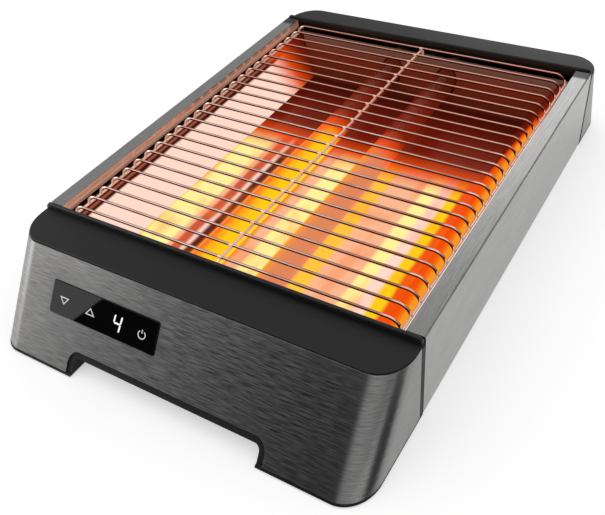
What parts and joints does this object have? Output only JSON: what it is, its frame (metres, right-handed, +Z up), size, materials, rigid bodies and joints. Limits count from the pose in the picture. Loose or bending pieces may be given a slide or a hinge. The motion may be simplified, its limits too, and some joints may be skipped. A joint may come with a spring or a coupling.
{
  "type": "flat toaster",
  "caption": "Low tabletop toaster: a wire rack over quartz heaters in a steel body with black end caps, a sloping touch panel, gaps between its feet and a pull-out crumb tray.",
  "frame": {"origin": "on the table under the middle of the body", "axes": "+X to the right seen from the control panel, +Y from the control panel to the rear, +Z up"},
  "size_m": [0.25, 0.3976, 0.0615],
  "materials": {
    "side_steel": "fine grain along the length, satin",
    "cover_steel": "dark, brushed across the width",
    "plated_sheet": "zinc-plated sheet, dull",
    "reflector_sheet": "bright, slightly browned by heat",
    "tray_sheet": "bright sheet, browned by heat",
    "black_plastic": "fine matt texture",
    "black_rubber": "matt",
    "quartz": "clear tube, lit from inside",
    "element_wire": "oxidised, glowing in use",
    "ceramic": "unglazed, pale",
    "panel_glass": "black, polished, printed on the back",
    "display_case": "smooth",
    "contact_metal": "plated springs",
    "circuit_board": "green solder mask",
    "component_case": "moulded",
    "wire_sleeve": "woven glass sleeve",
    "screw_steel": "zinc-plated",
    "rack_chrome": "bright plating, slightly browned by heat"
  },
  "bodies": {
    "body": {"side_panel_left": "side_steel", "side_panel_right": "side_steel", "base_plate": "plated_sheet", "front_housing": "black_plastic", "front_cover": "cover_steel", "front_cap": "black_plastic", "rear_housing": "black_plastic", "rear_cover": "cover_steel", "rear_cap": "black_plastic", "front_end_plate": "plated_sheet", "rear_end_plate": "plated_sheet", "side_shield_left": "plated_sheet", "side_shield_right": "plated_sheet", "side_reflector_left": "reflector_sheet", "side_reflector_right": "reflector_sheet", "end_reflector_front": "reflector_sheet", "end_reflector_rear": "reflector_sheet", "quartz_tube_left": "quartz", "quartz_tube_right": "quartz", "heating_element_left": "element_wire", "heating_element_right": "element_wire", "tube_holders": "ceramic", "touch_panel": "panel_glass", "display_module": "display_case", "key_pads": "contact_metal", "panel_board": "circuit_board", "power_board": "circuit_board", "switching_relay": "component_case", "supply_transformer": "component_case", "filter_capacitor": "component_case", "terminal_block": "ceramic", "thermal_fuse": "ceramic", "heat_sensor": "screw_steel", "heater_leads": "wire_sleeve", "mains_loom": "wire_sleeve", "cable_inlet": "black_rubber", "rubber_feet": "black_rubber", "base_screws": "screw_steel", "board_screws": "screw_steel", "tray_guides": "plated_sheet"},
    "tray": {"crumb_tray": "tray_sheet", "tray_front": "black_plastic"},
    "rack": {"rack_wires": "rack_chrome", "rack_rails": "rack_chrome", "rack_rod": "rack_chrome"}
  },
  "joints": [
    {"name": "crumb_tray_slide", "type": "slide", "parent": "body", "child": "tray", "axis": [-1, 0, 0], "range_m": [0, 0.18]},
    {"name": "rack_lift", "type": "slide", "parent": "body", "child": "rack", "axis": [0, 0, 1], "range_m": [0, 0.08]}
  ]
}
